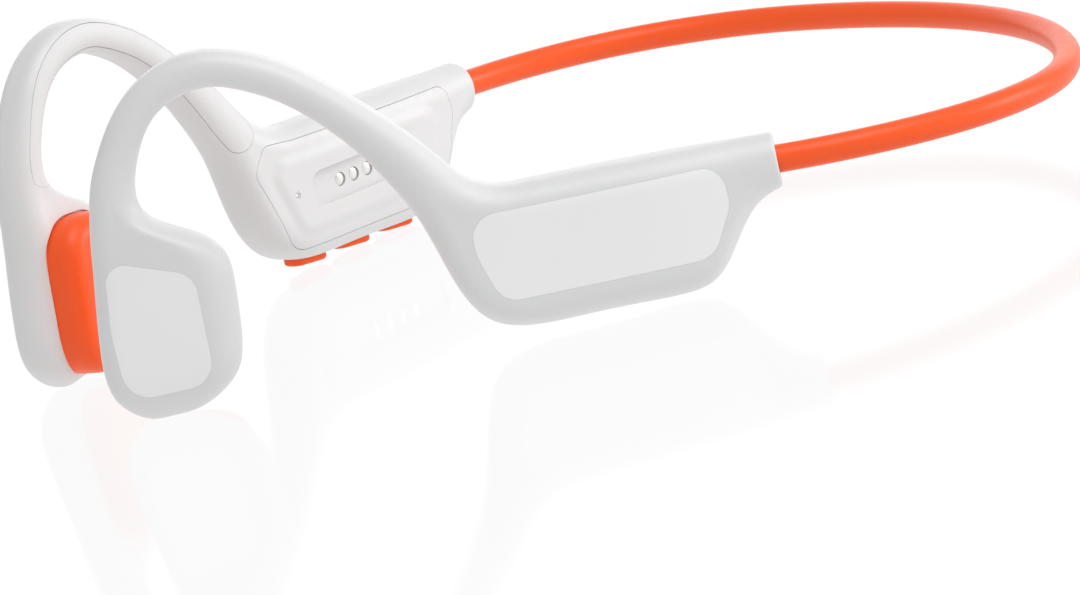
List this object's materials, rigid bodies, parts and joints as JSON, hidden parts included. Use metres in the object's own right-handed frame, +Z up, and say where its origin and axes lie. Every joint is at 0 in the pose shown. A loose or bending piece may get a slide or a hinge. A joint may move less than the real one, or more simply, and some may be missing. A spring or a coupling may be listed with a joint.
{
  "type": "bone conduction headphones",
  "caption": "Open-ear headphones: hooked ear units with cheek pads that vibrate, joined by an elastic neckband, with press buttons and a charging dock on the right unit.",
  "frame": {"origin": "middle of the object's footprint, on the surface it stands on", "axes": "+X to the wearer's left, +Y to the rear (the neckband), +Z up"},
  "size_m": [0.1132, 0.1422, 0.045],
  "materials": {
    "shell_white": "soft matte",
    "inlay_grey": "soft matte",
    "liner_white": "matte",
    "orange_silicone": "satin",
    "orange_button": "satin",
    "black_plastic": "matte",
    "copper": "wound wire",
    "spring_steel": "satin",
    "soft_iron": "plain",
    "magnet_nickel": "polished",
    "titanium": "satin",
    "cable_black": "matte",
    "battery_foil": "foil",
    "circuit_board": "gloss",
    "contact_gold": "polished",
    "clear_lens": "clear"
  },
  "bodies": {
    "band": {"neckband_rear": "orange_silicone", "neckband_wire": "titanium", "neckband_cable": "cable_black"},
    "left_side": {"left_hook_liner": "liner_white", "left_front_inlay": "inlay_grey", "left_rear_inlay": "inlay_grey", "left_transducer_pad": "orange_silicone", "left_transducer_plate": "black_plastic", "left_voice_coil": "copper", "left_flexure": "spring_steel", "left_driver_ring": "black_plastic", "left_hook_wire": "titanium", "left_hook_cable": "cable_black", "left_ferrule": "spring_steel", "left_neckband_side": "orange_silicone", "left_shell": "shell_white", "left_rear_cover": "shell_white", "battery": "battery_foil", "protection_board": "circuit_board"},
    "left_driver": {"left_yoke": "soft_iron", "left_magnet": "magnet_nickel", "left_pole_piece": "soft_iron"},
    "right_side": {"right_hook_liner": "liner_white", "right_front_inlay": "inlay_grey", "right_rear_inlay": "inlay_grey", "right_transducer_pad": "orange_silicone", "right_transducer_plate": "black_plastic", "right_voice_coil": "copper", "right_flexure": "spring_steel", "right_driver_ring": "black_plastic", "right_hook_wire": "titanium", "right_hook_cable": "cable_black", "right_ferrule": "spring_steel", "right_neckband_side": "orange_silicone", "right_shell": "shell_white", "right_rear_cover": "shell_white", "main_board": "circuit_board", "radio_chip": "black_plastic", "contact_block": "black_plastic", "charging_contacts": "contact_gold", "dock_magnets": "magnet_nickel", "status_lens": "clear_lens", "microphone": "soft_iron", "switch_board": "circuit_board", "dome_switches": "spring_steel"},
    "right_driver": {"right_yoke": "soft_iron", "right_magnet": "magnet_nickel", "right_pole_piece": "soft_iron"},
    "volume_down_button": {"volume_down_button": "orange_button"},
    "power_button": {"power_button": "orange_button"},
    "volume_up_button": {"volume_up_button": "orange_button"}
  },
  "joints": [
    {"name": "left_flex", "type": "hinge", "parent": "band", "child": "left_side", "pos_m": [0.02319, 0.06544, 0.01099], "axis": [0, 0.0663, 0.9978], "range_deg": [0, 25], "stiffness_Nm_per_rad": 0.18, "deforming": ["neckband_wire", "neckband_cable"]},
    {"name": "right_flex", "type": "hinge", "parent": "band", "child": "right_side", "pos_m": [-0.02319, 0.06544, 0.01099], "axis": [0, -0.0663, -0.9978], "range_deg": [0, 25], "stiffness_Nm_per_rad": 0.18, "deforming": ["neckband_wire", "neckband_cable"]},
    {"name": "left_driver_shake", "type": "slide", "parent": "left_side", "child": "left_driver", "axis": [-0.8121, 0.5833, -0.0153], "range_m": [-0.00015, 0.00015], "stiffness_N_per_m": 3700},
    {"name": "right_driver_shake", "type": "slide", "parent": "right_side", "child": "right_driver", "axis": [0.8121, 0.5833, -0.0153], "range_m": [-0.00015, 0.00015], "stiffness_N_per_m": 3700},
    {"name": "volume_down_button_press", "type": "slide", "parent": "right_side", "child": "volume_down_button", "axis": [0, 0.0262, 0.9997], "range_m": [0, 0.0003], "stiffness_N_per_m": 5000},
    {"name": "power_button_press", "type": "slide", "parent": "right_side", "child": "power_button", "axis": [0, 0.0262, 0.9997], "range_m": [0, 0.0003], "stiffness_N_per_m": 5000},
    {"name": "volume_up_button_press", "type": "slide", "parent": "right_side", "child": "volume_up_button", "axis": [0, 0.0262, 0.9997], "range_m": [0, 0.0003], "stiffness_N_per_m": 5000}
  ]
}
